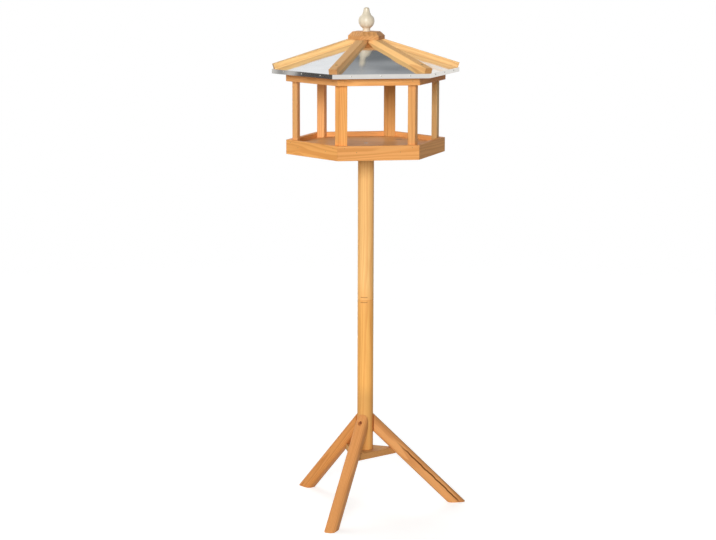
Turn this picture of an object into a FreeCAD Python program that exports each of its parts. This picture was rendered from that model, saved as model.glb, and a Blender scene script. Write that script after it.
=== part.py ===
import FreeCAD, Part
import Sketcher
import math
import os

# Hexagonal bird table: tripod foot, round pole, tray, six posts and a six-sided sheet roof.
# Millimetres, +Z up. The origin lies on the ground at the middle of the object's bounding box.
# The front leg points along -Y. The pole's axis stands a little behind the origin, because the
# front leg reaches further than the roof does at the back.

SIZES = [
    # tripod foot
    ("foot_reach", 293),
    ("leg_slope", 45),
    ("leg_width", 33),
    ("leg_depth", 37),
    ("leg_edge_radius", 12),
    ("plate_clearance", 150),
    ("plate_thickness", 18),
    ("plate_setback", 2),
    # pole
    ("pole_diameter", 45),
    ("pole_length", 432.5),
    ("pole_chamfer", 0.8),
    # tray
    ("frame_radius", 224),
    ("board_thickness", 15),
    ("board_edge_radius", 1.2),
    ("rim_height", 40),
    ("block_width", 104),
    ("block_thickness", 18),
    ("block_clearance", 0.1),
    ("floor_thickness", 9),
    # posts and ring
    ("post_length", 198),
    ("post_side", 21.5),
    ("ring_height", 24),
    # roof
    ("eave_overhang", 33.8),
    ("roof_pitch", 20),
    ("batten_edge_height", 9),
    ("sheet_thickness", 0.8),
    ("sheet_opening_radius", 20),
    ("lip_depth", 12),
    ("rafter_width", 24),
    ("rafter_depth", 13),
    ("rafter_setback", 6),
    ("rafter_edge_radius", 2),
    ("rafter_inner_reach", 22),
    ("hub_radius", 50),
    ("hub_edge_height", 16),
    ("hub_boss_diameter", 36),
    ("cap_radius", 51.5),
    ("cap_height", 21),
    ("cap_chamfer", 11),
    # finial
    ("finial_height", 66),
    ("stem_radius", 10.5),
    ("stem_height", 6),
    ("neck_radius", 11.6),
    ("neck_height", 9.8),
    ("neck_cove_radius", 6),
    ("bulb_arc_radius", 22),
    ("bulb_top_height", 41.4),
    ("bulb_top_radius", 17.8),
    ("collar_radius", 16.6),
    ("tip_radius", 8),
    ("tip_height", 62),
    ("flare_arc_radius", 30),
    ("dowel_diameter", 10),
    ("dowel_length", 72),
    ("dowel_offset", 8),
    # fasteners
    ("stud_diameter", 8),
    ("stud_length", 80),
    ("coach_diameter", 8),
    ("coach_clearance", 22.5),
    ("coach_head_width", 13),
    ("coach_head_height", 5.5),
    ("washer_diameter", 24),
    ("washer_thickness", 2),
    ("tray_screw_diameter", 6),
    ("tray_screw_length", 70),
    ("leg_screw_diameter", 5),
    ("leg_screw_length", 40),
    ("leg_screw_offset", 20),
    ("leg_screw_depth", 7),
    ("plate_screw_diameter", 4),
    ("plate_screw_length", 36),
    ("plate_screw_depth", 2),
    ("bore_clearance", 0.5),
    ("block_screw_diameter", 3.5),
    ("block_screw_length", 23),
    ("block_screw_spacing", 76),
    ("rafter_screw_diameter", 3.5),
    ("rafter_screw_length", 26),
    ("eave_screw_setback", 31),
    ("hub_screw_reach", 40),
    ("pin_diameter", 2),
    ("pin_length", 26),
    ("floor_pin_spacing", 120),
    ("batten_pin_length", 34),
    ("batten_pin_spacing", 150),
    ("batten_pin_depth", 1.5),
    ("nail_diameter", 1.8),
    ("nail_length", 14),
    ("nail_head_diameter", 4),
    ("nail_head_height", 0.8),
    ("nail_spacing", 80),
]

SIDES = 6
LEGS = 3
BLOCK_CORNERS = 4
FULL_TURN = 360.0
CORNER_FIRST = -90.0
SIDE_FIRST = -150.0
TOLERANCE = 1e-6
OTHER_END = {1: 2, 2: 1}
OUTWARD = (0, 1, 0)
UPWARD = (0, 0, 1)
DOWNWARD = (0, 0, -1)

# Heights and offsets that follow from the driving sizes, as expressions on the sheet's cells.
# A side piece has local Y outward, square to its side. A corner piece has local X outward.
FRAME_OUTER = "(dims.frame_radius * cos(30))"
FRAME_INNER = f"({FRAME_OUTER} - dims.board_thickness)"
CORNER_INNER = f"({FRAME_INNER} / cos(30))"
POST_MIDDLE = f"({FRAME_INNER} * tan(30) - dims.post_side / 2)"
EAVE_OUTER = f"({FRAME_OUTER} + dims.eave_overhang)"
EAVE_CORNER = f"({EAVE_OUTER} / cos(30))"
AXIS_Y = f"(dims.foot_reach - {EAVE_CORNER}) / 2"
LEG_END = "(dims.pole_diameter / 2)"
LEG_TOP = f"((dims.foot_reach - {LEG_END}) * tan(dims.leg_slope))"
LEG_UNDERSIDE = "(dims.foot_reach - dims.leg_depth / sin(dims.leg_slope))"
LEG_SCREW_HEIGHT = f"({LEG_TOP} - dims.leg_screw_offset)"
PLATE_CORNER = f"({LEG_UNDERSIDE} - dims.plate_clearance / tan(dims.leg_slope) - dims.plate_setback)"
PLATE_TOP = "(dims.plate_clearance + dims.plate_thickness)"
COACH_SEAT = "(dims.plate_clearance - dims.washer_thickness)"
COACH_LENGTH = f"({LEG_SCREW_HEIGHT} - dims.coach_clearance - {COACH_SEAT})"
POLE_JOINT = f"({PLATE_TOP} + dims.pole_length)"
FLOOR_BOTTOM = f"({POLE_JOINT} + dims.pole_length)"
RIM_BOTTOM = f"({FLOOR_BOTTOM} - dims.block_thickness)"
RIM_TOP = f"({RIM_BOTTOM} + dims.rim_height)"
FLOOR_TOP = f"({FLOOR_BOTTOM} + dims.floor_thickness)"
RING_TOP = f"({FLOOR_TOP} + dims.post_length)"
RING_BOTTOM = f"({RING_TOP} - dims.ring_height)"
BATTEN_OUTER = f"({EAVE_OUTER} - dims.sheet_thickness)"
PITCH = "tan(dims.roof_pitch)"
HIP = f"({PITCH} * cos(30))"
HIP_ANGLE = f"atan({HIP})"
SHEET_RISE = "(dims.sheet_thickness / cos(dims.roof_pitch))"
EAVE_TOP = f"({RING_TOP} + dims.batten_edge_height + {SHEET_RISE} - dims.sheet_thickness * {PITCH})"
RAFTER_RISE = f"(dims.rafter_depth / cos({HIP_ANGLE}))"
SEAT_RISE = f"(({EAVE_CORNER} - dims.cap_radius) * {HIP} + {RAFTER_RISE})"
CAP_BOTTOM = f"({EAVE_TOP} + {SEAT_RISE})"
CAP_TOP = f"({CAP_BOTTOM} + dims.cap_height)"
HUB_SHOULDER = f"({EAVE_TOP} + ({EAVE_CORNER} - dims.hub_radius) * {HIP} - {SHEET_RISE})"
HUB_BOTTOM = f"({HUB_SHOULDER} - dims.hub_edge_height)"
OPENING_CORNER = "(dims.sheet_opening_radius / cos(30))"
CROWN_RISE = "(dims.finial_height - dims.tip_height)"
CROWN_ARC = f"((dims.tip_radius * dims.tip_radius + {CROWN_RISE} * {CROWN_RISE}) / (2 * {CROWN_RISE}))"

doc = FreeCAD.newDocument("bird_table")
sheet = doc.addObject("Spreadsheet::Sheet", "dims")
for row, (alias, size) in enumerate(SIZES, start=1):
    sheet.set(f"A{row}", alias)
    sheet.set(f"B{row}", str(size))
    sheet.setAlias(f"B{row}", alias)
doc.recompute()

pieces = {}


def value(expression):
    """The number that an expression on the sheet's cells gives."""
    return float(FreeCAD.Units.Quantity(sheet.evalExpression(expression)).Value)


def new_body(name, turn=0.0, height="0"):
    """A body whose local Z axis is the pole's axis, turned about it and raised."""
    body = doc.addObject("PartDesign::Body", name)
    body.Label = name
    body.Placement = FreeCAD.Placement(FreeCAD.Vector(), FreeCAD.Rotation(FreeCAD.Vector(*UPWARD), turn))
    body.setExpression(".Placement.Base.y", AXIS_Y)
    body.setExpression(".Placement.Base.z", height)
    return body


def new_sketch(body, role, name):
    """An empty sketch on one of the body's own origin planes."""
    sketch = body.newObject("Sketcher::SketchObject", f"{body.Name}_{name}")
    plane = next(item for item in body.Origin.OriginFeatures if item.Role == role)
    sketch.AttachmentSupport = [(plane, "")]
    sketch.MapMode = "FlatFace"
    sketch.Visibility = False
    return sketch


def hold(sketch, index, end, across, up):
    """Ties one end of an edge to the sheet by its distances from the origin."""
    for kind, expression in (("DistanceX", across), ("DistanceY", up)):
        row = sketch.addConstraint(Sketcher.Constraint(kind, -1, 1, index, end, value(expression)))
        sketch.setExpression(f"Constraints[{row}]", expression)


def arc_between(start, end, radius, side):
    """An arc that bulges to the left of its chord for side +1, and to the right for -1.

    A sketch counts its arcs anticlockwise, so one that bulges to the left is drawn from its end.
    """
    chord = end - start
    half = chord.Length / 2
    left = FreeCAD.Vector(-chord.y, chord.x, 0).normalize()
    bulge = radius - math.sqrt(radius * radius - half * half)
    middle = (start + end) * 0.5 + left * (side * bulge)
    if side > 0:
        return Part.ArcOfCircle(end, middle, start)
    return Part.ArcOfCircle(start, middle, end)


def draw_loop(sketch, corners, arcs=None):
    """A closed loop through corners. arcs maps an edge's number to its radius and its side."""
    arcs = arcs or {}
    first = sketch.GeometryCount
    points = [FreeCAD.Vector(value(across), value(up), 0) for across, up in corners]
    starts = []
    for index, start in enumerate(points):
        end = points[(index + 1) % len(points)]
        edge = Part.LineSegment(start, end)
        if index in arcs:
            radius, side = arcs[index]
            edge = arc_between(start, end, value(radius), side)
        sketch.addGeometry(edge, False)
        drawn = sketch.Geometry[first + index].StartPoint
        starts.append(1 if drawn.distanceToPoint(start) < TOLERANCE else 2)
    for index, (across, up) in enumerate(corners):
        following = (index + 1) % len(corners)
        end = OTHER_END[starts[index]]
        sketch.addConstraint(
            Sketcher.Constraint("Coincident", first + index, end, first + following, starts[following]))
        hold(sketch, first + index, starts[index], across, up)
    for index, (radius, side) in arcs.items():
        row = sketch.addConstraint(Sketcher.Constraint("Radius", first + index, value(radius)))
        sketch.setExpression(f"Constraints[{row}]", radius)


def draw_circle(sketch, radius):
    """A circle about the sketch's origin."""
    circle = Part.Circle(FreeCAD.Vector(), FreeCAD.Vector(*UPWARD), value(radius))
    index = sketch.addGeometry(circle, False)
    sketch.addConstraint(Sketcher.Constraint("Coincident", index, 3, -1, 1))
    row = sketch.addConstraint(Sketcher.Constraint("Radius", index, value(radius)))
    sketch.setExpression(f"Constraints[{row}]", radius)


def add_pad(body, sketch, length, symmetric=False):
    """A prism of the sketch."""
    pad = body.newObject("PartDesign::Pad", f"{sketch.Name}_pad")
    pad.Profile = sketch
    pad.SideType = "Symmetric" if symmetric else "One side"
    pad.setExpression("Length", length)
    doc.recompute()
    return pad


def round_edges(body, feature, radius, wanted):
    """Rounds the edges that wanted(edge) picks."""
    names = [f"Edge{row}" for row, edge in enumerate(feature.Shape.Edges, start=1) if wanted(edge)]
    rounded = body.newObject("PartDesign::Fillet", f"{feature.Name}_rounded")
    rounded.Base = (feature, names)
    rounded.setExpression("Radius", radius)
    doc.recompute()
    return rounded


def bevel_edges(body, feature, size, wanted):
    """Chamfers the edges that wanted(edge) picks."""
    names = [f"Edge{row}" for row, edge in enumerate(feature.Shape.Edges, start=1) if wanted(edge)]
    bevelled = body.newObject("PartDesign::Chamfer", f"{feature.Name}_bevelled")
    bevelled.Base = (feature, names)
    bevelled.setExpression("Size", size)
    doc.recompute()
    return bevelled


def runs_along(edge, direction):
    """True for a straight edge parallel to a direction."""
    if not isinstance(edge.Curve, Part.Line):
        return False
    return abs(abs(edge.Curve.Direction.dot(FreeCAD.Vector(*direction))) - 1) < TOLERANCE


def lies_at(edge, height):
    """True for an edge whose ends are both at a height."""
    return all(abs(vertex.Z - height) < TOLERANCE for vertex in edge.Vertexes)


def hexagon(radius):
    """Corners of a hexagon, one of them on local X, as expressions."""
    return [(f"{radius} * cos({60 * step})", f"{radius} * sin({60 * step})") for step in range(SIDES)]


def keep(name, item):
    """Enters an object as the finished piece of that name."""
    item.Label = name
    pieces[name] = item
    return item


def drill(body, tools):
    """The finished piece: the body less the fasteners that pass through it, under its own name."""
    name = body.Label
    body.Label = f"{name}_blank"
    tool = tools[0]
    if len(tools) > 1:
        tool = doc.addObject("Part::Compound", f"{name}_holes")
        tool.Links = tools
    cut = doc.addObject("Part::Cut", f"{name}_drilled")
    cut.Base = body
    cut.Tool = tool
    return keep(name, cut)


def facing(point, outward):
    """A placement at a point whose Z axis looks outward, for a fastener driven in from there."""
    turn = FreeCAD.Rotation(FreeCAD.Vector(*UPWARD), FreeCAD.Vector(*outward))
    return FreeCAD.Placement(FreeCAD.Vector(*point), turn)


def around(places, count, first):
    """Repeats local placements about the pole's axis."""
    centre = FreeCAD.Vector(0, value(AXIS_Y), 0)
    result = []
    for step in range(count):
        turn = FreeCAD.Rotation(FreeCAD.Vector(*UPWARD), first + step * FULL_TURN / count)
        result.extend(FreeCAD.Placement(centre, turn).multiply(place) for place in places)
    return result


def group(name, shape, places):
    """Identical fasteners as one object, each of them a separate solid."""
    feature = doc.addObject("Part::Feature", name)
    copies = []
    for place in places:
        copy = shape.copy()
        copy.Placement = place
        copies.append(copy)
    feature.Shape = Part.makeCompound(copies)
    feature.Label = name
    return feature


def rod(diameter, length):
    """A plain round rod along -Z, for pins, dowels and bores."""
    return Part.makeCylinder(diameter / 2, length, FreeCAD.Vector(), FreeCAD.Vector(*DOWNWARD))


def countersunk_screw(diameter, length):
    """A wood screw along -Z, with the top of its flat head at the origin."""
    radius = diameter / 2
    tip = 2 * diameter
    down = FreeCAD.Vector(*DOWNWARD)
    head = Part.makeCone(2 * radius, radius, radius, FreeCAD.Vector(), down)
    shank = rod(diameter, length - tip)
    point = Part.makeCone(radius, radius / 4, tip, FreeCAD.Vector(0, 0, tip - length), down)
    return head.fuse([shank, point]).removeSplitter()


def lip_nail():
    """A short nail along -Z whose round head stands proud of the origin."""
    head = Part.makeCylinder(value("dims.nail_head_diameter / 2"), value("dims.nail_head_height"))
    return head.fuse(rod(value("dims.nail_diameter"), value("dims.nail_length"))).removeSplitter()


def coach_screw():
    """A coach screw along -Z with its hexagonal head above the origin."""
    corner = value("dims.coach_head_width / 2 / cos(30)")
    rim = []
    for step in range(SIDES + 1):
        angle = math.radians(step * FULL_TURN / SIDES)
        rim.append(FreeCAD.Vector(corner * math.cos(angle), corner * math.sin(angle), 0))
    head = Part.Face(Part.makePolygon(rim)).extrude(FreeCAD.Vector(0, 0, value("dims.coach_head_height")))
    diameter = value("dims.coach_diameter")
    tip = diameter
    length = value(COACH_LENGTH)
    down = FreeCAD.Vector(*DOWNWARD)
    point = Part.makeCone(diameter / 2, diameter / 8, tip, FreeCAD.Vector(0, 0, tip - length), down)
    shank = rod(diameter, length - tip)
    return head.fuse([shank, point]).removeSplitter()


# Screws from the legs' upper ends into the pole, each sunk in a round bore.
slope = math.radians(value("dims.leg_slope"))
screw_height = value(LEG_SCREW_HEIGHT)
screw_seat = value("dims.foot_reach") - screw_height / math.tan(slope) - value("dims.leg_screw_depth")
leg_places = around([facing((screw_seat, 0, screw_height), (1, 0, 0))], LEGS, CORNER_FIRST)
leg_screw = countersunk_screw(value("dims.leg_screw_diameter"), value("dims.leg_screw_length"))
leg_pole_screws = keep("leg_pole_screws", group("leg_pole_screws", leg_screw, leg_places))
leg_bore = Part.makeCylinder(
    value("dims.leg_screw_diameter + dims.bore_clearance"), value("4 * dims.leg_screw_depth"))
leg_screw_bores = group("leg_screw_bores", leg_bore, leg_places)

# Screws from the plate's underside, square through its slanted corners, up into the legs.
plate_joint_height = value("dims.plate_clearance + dims.plate_thickness / 2")
plate_joint_reach = value(LEG_UNDERSIDE) - (
    plate_joint_height / math.tan(slope))
plate_screw_back = value("dims.plate_thickness / 2") / math.cos(slope) - value("dims.plate_screw_depth")
plate_screw_seat = (
    plate_joint_reach - plate_screw_back * math.sin(slope), 0,
    plate_joint_height - plate_screw_back * math.cos(slope))
plate_screw_out = (-math.sin(slope), 0, -math.cos(slope))
plate_places = around([facing(plate_screw_seat, plate_screw_out)], LEGS, CORNER_FIRST)
plate_screw = countersunk_screw(value("dims.plate_screw_diameter"), value("dims.plate_screw_length"))
leg_plate_screws = keep("leg_plate_screws", group("leg_plate_screws", plate_screw, plate_places))
plate_bore = Part.makeCylinder(
    value("dims.plate_screw_diameter + dims.bore_clearance"), value("dims.plate_thickness"))
plate_screw_bores = group("plate_screw_bores", plate_bore, plate_places)

# Fasteners on the pole's axis.
washer_seat = (0, 0, value(COACH_SEAT))
pole_coach_screw = keep(
    "coach_screw", group("coach_screw", coach_screw(), around([facing(washer_seat, DOWNWARD)], 1, 0)))
stud_top = (0, 0, value(f"{POLE_JOINT} + dims.stud_length / 2"))
stud = rod(value("dims.stud_diameter"), value("dims.stud_length"))
pole_stud = keep("pole_stud", group("pole_stud", stud, around([facing(stud_top, UPWARD)], 1, 0)))
tray_top = (0, 0, value(FLOOR_TOP))
tray_screw_shape = countersunk_screw(value("dims.tray_screw_diameter"), value("dims.tray_screw_length"))
tray_screw = keep(
    "tray_screw", group("tray_screw", tray_screw_shape, around([facing(tray_top, UPWARD)], 1, 0)))
dowel_top = (0, 0, value(f"{HUB_BOTTOM} + dims.dowel_offset + dims.dowel_length"))
dowel = rod(value("dims.dowel_diameter"), value("dims.dowel_length"))
finial_dowel = keep(
    "finial_dowel", group("finial_dowel", dowel, around([facing(dowel_top, UPWARD)], 1, 0)))

# Screws from the socket block up into the tray's floor.
block_reach = value("dims.block_screw_spacing / 2")
block_height = value(RIM_BOTTOM)
block_screw = countersunk_screw(value("dims.block_screw_diameter"), value("dims.block_screw_length"))
block_screw_place = facing((block_reach, block_reach, block_height), DOWNWARD)
block_screw_places = around([block_screw_place], BLOCK_CORNERS, 0)
block_screws = keep("block_screws", group("block_screws", block_screw, block_screw_places))

# Pins through the rim boards into the posts and the floor, and through the ring boards into the posts.
pin = rod(value("dims.pin_diameter"), value("dims.pin_length"))
pin_start = value(FRAME_OUTER)
post_pin_across = value(POST_MIDDLE)
rim_pin_height = value(f"({FLOOR_TOP} + {RIM_TOP}) / 2")
ring_pin_height = value(f"({RING_BOTTOM} + {RING_TOP}) / 2")
floor_pin_across = value("dims.floor_pin_spacing / 2")
floor_pin_height = value(f"{FLOOR_BOTTOM} + dims.floor_thickness / 2")
rim_pin_places = []
ring_pin_places = []
for hand in (-1, 1):
    rim_pin_places.append(facing((hand * post_pin_across, pin_start, rim_pin_height), OUTWARD))
    rim_pin_places.append(facing((hand * floor_pin_across, pin_start, floor_pin_height), OUTWARD))
    ring_pin_places.append(facing((hand * post_pin_across, pin_start, ring_pin_height), OUTWARD))
rim_pins = keep("rim_pins", group("rim_pins", pin, around(rim_pin_places, SIDES, SIDE_FIRST)))
ring_pins = keep("ring_pins", group("ring_pins", pin, around(ring_pin_places, SIDES, SIDE_FIRST)))

# Upright pins from the eave battens down into the ring boards.
pin_line = f"({FRAME_OUTER} - dims.board_thickness / 2)"
batten_pin_out = value(pin_line)
batten_pin_across = value("dims.batten_pin_spacing / 2")
batten_top = f"({RING_TOP} + dims.batten_edge_height + ({BATTEN_OUTER} - {pin_line}) * {PITCH})"
batten_pin_top = value(f"{batten_top} - dims.batten_pin_depth")
batten_pin = rod(value("dims.pin_diameter"), value("dims.batten_pin_length"))
batten_pin_places = [
    facing((hand * batten_pin_across, batten_pin_out, batten_pin_top), UPWARD) for hand in (-1, 1)]
batten_pins = keep(
    "batten_pins", group("batten_pins", batten_pin, around(batten_pin_places, SIDES, SIDE_FIRST)))

# Nails through the folded lips into the battens.
lip_nail_height = value(f"{RING_TOP} + dims.batten_edge_height / 2")
lip_nail_out = value(EAVE_OUTER)
lip_nail_places = [
    facing((step * value("dims.nail_spacing"), lip_nail_out, lip_nail_height), OUTWARD)
    for step in (-1, 0, 1)]
lip_nails = keep("lip_nails", group("lip_nails", lip_nail(), around(lip_nail_places, SIDES, SIDE_FIRST)))

# Two screws in each rafter: one square to it at the eave, one upright under the cap.
hip_angle = math.radians(value(HIP_ANGLE))
eave_reach = value(f"{EAVE_CORNER} - dims.eave_screw_setback")
eave_height = value(f"{EAVE_TOP} + dims.eave_screw_setback * {HIP} + {RAFTER_RISE}")
rafter_screw = countersunk_screw(value("dims.rafter_screw_diameter"), value("dims.rafter_screw_length"))
rafter_places = [
    facing((eave_reach, 0, eave_height), (math.sin(hip_angle), 0, math.cos(hip_angle))),
    facing((value("dims.hub_screw_reach"), 0, value(CAP_BOTTOM)), UPWARD)]
rafter_screws = keep(
    "rafter_screws", group("rafter_screws", rafter_screw, around(rafter_places, SIDES, CORNER_FIRST)))


def make_leg(name, turn):
    """A strut cut flat at the foot and upright where it meets the pole."""
    body = new_body(name, turn)
    sketch = new_sketch(body, "XZ_Plane", "profile")
    draw_loop(sketch, [
        (LEG_UNDERSIDE, "0"),
        ("dims.foot_reach", "0"),
        (LEG_END, LEG_TOP),
        (LEG_END, f"{LEG_TOP} - dims.leg_depth / cos(dims.leg_slope)")])
    pad = add_pad(body, sketch, "dims.leg_width", symmetric=True)
    along = (math.cos(slope), 0, -math.sin(slope))
    round_edges(body, pad, "dims.leg_edge_radius", lambda edge: runs_along(edge, along))
    return body


legs = []
for name, step in (("front_leg", 0), ("right_leg", 1), ("left_leg", 2)):
    leg = make_leg(name, CORNER_FIRST + step * FULL_TURN / LEGS)
    legs.append(leg)
    drill(leg, [leg_pole_screws, leg_screw_bores, leg_plate_screws])

# The triangular plate's corners are cut slanting where they bear on the legs' undersides.
plate = new_body("base_plate", CORNER_FIRST, "dims.plate_clearance")
plate_sketch = new_sketch(plate, "XY_Plane", "outline")
draw_loop(plate_sketch, [
    (f"{PLATE_CORNER} * cos({120 * step})", f"{PLATE_CORNER} * sin({120 * step})")
    for step in range(LEGS)])
add_pad(plate, plate_sketch, "dims.plate_thickness")
drill(plate, legs + [leg_plate_screws, plate_screw_bores, pole_coach_screw])

washer = new_body("washer", 0, COACH_SEAT)
washer_sketch = new_sketch(washer, "XY_Plane", "outline")
draw_circle(washer_sketch, "dims.washer_diameter / 2")
draw_circle(washer_sketch, "dims.coach_diameter / 2")
add_pad(washer, washer_sketch, "dims.washer_thickness")
keep("washer", washer)


def make_pole(name, height, tools):
    """One round length of the pole, its ends eased by a small chamfer."""
    body = new_body(name, 0, height)
    sketch = new_sketch(body, "XY_Plane", "outline")
    draw_circle(sketch, "dims.pole_diameter / 2")
    pad = add_pad(body, sketch, "dims.pole_length")
    bevel_edges(body, pad, "dims.pole_chamfer", lambda edge: isinstance(edge.Curve, Part.Circle))
    drill(body, tools)


make_pole("pole_lower", PLATE_TOP, [leg_pole_screws, pole_coach_screw, pole_stud])
make_pole("pole_upper", POLE_JOINT, [pole_stud, tray_screw])

# The block under the floor takes the pole's top end.
block = new_body("socket_block", 0, RIM_BOTTOM)
block_sketch = new_sketch(block, "XY_Plane", "outline")
draw_loop(block_sketch, [
    ("-dims.block_width / 2", "-dims.block_width / 2"),
    ("dims.block_width / 2", "-dims.block_width / 2"),
    ("dims.block_width / 2", "dims.block_width / 2"),
    ("-dims.block_width / 2", "dims.block_width / 2")])
draw_circle(block_sketch, "dims.pole_diameter / 2 + dims.block_clearance")
add_pad(block, block_sketch, "dims.block_thickness")
drill(block, [block_screws])

floor = new_body("tray_floor", CORNER_FIRST, FLOOR_BOTTOM)
floor_sketch = new_sketch(floor, "XY_Plane", "outline")
draw_loop(floor_sketch, hexagon(CORNER_INNER))
add_pad(floor, floor_sketch, "dims.floor_thickness")
drill(floor, [rim_pins, block_screws, tray_screw])


def make_side(name, turn, height, section, inner, outer, rounding=None):
    """A piece that runs along one side of the hexagon, mitred at both ends."""
    body = new_body(name, turn, height)
    section_sketch = new_sketch(body, "YZ_Plane", "section")
    draw_loop(section_sketch, section)
    feature = add_pad(body, section_sketch, f"2 * {outer} * tan(30)", symmetric=True)
    if rounding:
        round_edges(body, feature, rounding, lambda edge: runs_along(edge, (1, 0, 0)))
    before = body.Shape.Volume
    mitre_sketch = new_sketch(body, "XY_Plane", "mitre")
    near = f"{inner} / 2"
    far = f"{outer} * 2"
    for hand in ("", "-"):
        draw_loop(mitre_sketch, [
            (f"{hand}{near} * tan(30)", near),
            (f"{hand}{far} * tan(30)", far),
            (f"{hand}{far}", far),
            (f"{hand}{far}", near)])
    mitre = body.newObject("PartDesign::Pocket", f"{name}_mitred")
    mitre.Profile = mitre_sketch
    mitre.Type = "ThroughAll"
    mitre.SideType = "Symmetric"
    doc.recompute()
    if body.Shape.Volume > before - TOLERANCE:
        raise RuntimeError(f"{name} isn't mitred")
    return body


def board_section(height):
    """The upright section of a rim or ring board."""
    return [(FRAME_INNER, "0"), (FRAME_OUTER, "0"), (FRAME_OUTER, height), (FRAME_INNER, height)]


batten_section = [
    (FRAME_INNER, "0"),
    (BATTEN_OUTER, "0"),
    (BATTEN_OUTER, "dims.batten_edge_height"),
    (FRAME_INNER, f"dims.batten_edge_height + ({BATTEN_OUTER} - {FRAME_INNER}) * {PITCH}")]
sheet_top = f"({EAVE_OUTER} - dims.sheet_opening_radius) * {PITCH}"
sheet_section = [
    ("dims.sheet_opening_radius", f"{sheet_top} - {SHEET_RISE}"),
    (BATTEN_OUTER, f"dims.sheet_thickness * {PITCH} - {SHEET_RISE}"),
    (BATTEN_OUTER, "-dims.lip_depth"),
    (EAVE_OUTER, "-dims.lip_depth"),
    (EAVE_OUTER, "0"),
    ("dims.sheet_opening_radius", sheet_top)]

for step in range(SIDES):
    turn = SIDE_FIRST + step * FULL_TURN / SIDES
    number = step + 1
    rim_board = make_side(
        f"rim_board_{number}", turn, RIM_BOTTOM, board_section("dims.rim_height"),
        FRAME_INNER, FRAME_OUTER, "dims.board_edge_radius")
    drill(rim_board, [rim_pins])
    ring_board = make_side(
        f"ring_board_{number}", turn, RING_BOTTOM, board_section("dims.ring_height"),
        FRAME_INNER, FRAME_OUTER, "dims.board_edge_radius")
    drill(ring_board, [ring_pins, batten_pins])
    batten = make_side(
        f"eave_batten_{number}", turn, RING_TOP, batten_section, FRAME_INNER, BATTEN_OUTER)
    drill(batten, [batten_pins, lip_nails, rafter_screws])
    roof_sheet = make_side(
        f"roof_sheet_{number}", turn, EAVE_TOP, sheet_section, "dims.sheet_opening_radius", EAVE_OUTER)
    drill(roof_sheet, [lip_nails, rafter_screws])


def make_post(name, turn):
    """A post of rhombic section, nested in the corner between two boards."""
    body = new_body(name, turn, FLOOR_TOP)
    sketch = new_sketch(body, "XY_Plane", "outline")
    draw_loop(sketch, [
        (CORNER_INNER, "0"),
        (f"{CORNER_INNER} - dims.post_side * cos(60)", "dims.post_side * sin(60)"),
        (f"{CORNER_INNER} - dims.post_side", "0"),
        (f"{CORNER_INNER} - dims.post_side * cos(60)", "-dims.post_side * sin(60)")])
    pad = add_pad(body, sketch, "dims.post_length")
    round_edges(body, pad, "dims.board_edge_radius", lambda edge: runs_along(edge, UPWARD))
    drill(body, [rim_pins, ring_pins])


for step in range(SIDES):
    make_post(f"post_{step + 1}", CORNER_FIRST + step * FULL_TURN / SIDES)


def roof_polygon(name, radius, height):
    """A level hexagon whose corners lie under the hips."""
    polygon = doc.addObject("Part::RegularPolygon", name)
    polygon.Polygon = SIDES
    polygon.setExpression("Circumradius", radius)
    polygon.Placement = FreeCAD.Placement(
        FreeCAD.Vector(), FreeCAD.Rotation(FreeCAD.Vector(*UPWARD), CORNER_FIRST))
    polygon.setExpression(".Placement.Base.y", AXIS_Y)
    polygon.setExpression(".Placement.Base.z", height)
    return polygon


def roof_frustum(name, lower, upper, drop):
    """A solid under the roof's planes between two corner radii, lowered by drop."""
    loft = doc.addObject("Part::Loft", name)
    loft.Sections = [
        roof_polygon(f"{name}_{word}", radius, f"{EAVE_TOP} + ({EAVE_CORNER} - {radius}) * {HIP} - {drop}")
        for word, radius in (("low", lower), ("high", upper))]
    loft.Solid = True
    loft.Ruled = True
    return loft


# The solid under the outer faces of the sheets shapes the undersides of the rafters.
roof_form = roof_frustum("roof_form", f"({EAVE_CORNER} + dims.rafter_width)", "dims.pole_chamfer", "0")
doc.recompute()


def make_rafter(name, turn):
    """A hip rafter on the sheets, cut level at the top for the cap and square at the eave."""
    body = new_body(name, turn, EAVE_TOP)
    sketch = new_sketch(body, "XZ_Plane", "profile")
    end = f"({EAVE_CORNER} - dims.rafter_setback)"
    below = f"(dims.rafter_width / 2 * {PITCH})"
    draw_loop(sketch, [
        ("dims.rafter_inner_reach", f"({EAVE_CORNER} - dims.rafter_inner_reach) * {HIP} - {below}"),
        (f"{end} - {below} * sin({HIP_ANGLE})",
         f"dims.rafter_setback * {HIP} - {below} * cos({HIP_ANGLE})"),
        (f"{end} + dims.rafter_depth * sin({HIP_ANGLE})",
         f"dims.rafter_setback * {HIP} + dims.rafter_depth * cos({HIP_ANGLE})"),
        ("dims.cap_radius", SEAT_RISE),
        ("dims.rafter_inner_reach", SEAT_RISE)])
    pad = add_pad(body, sketch, "dims.rafter_width", symmetric=True)
    along = (math.cos(hip_angle), 0, -math.sin(hip_angle))
    middle = value(f"dims.rafter_setback * {HIP}")

    def is_upper_edge(edge):
        outer_end = max(edge.Vertexes, key=lambda vertex: vertex.X)
        return runs_along(edge, along) and outer_end.Z > middle

    rounded = round_edges(body, pad, "dims.rafter_edge_radius", is_upper_edge)
    drill(body, [roof_form, rafter_screws])
    return rounded


for step in range(SIDES):
    make_rafter(f"rafter_{step + 1}", CORNER_FIRST + step * FULL_TURN / SIDES)

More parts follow.
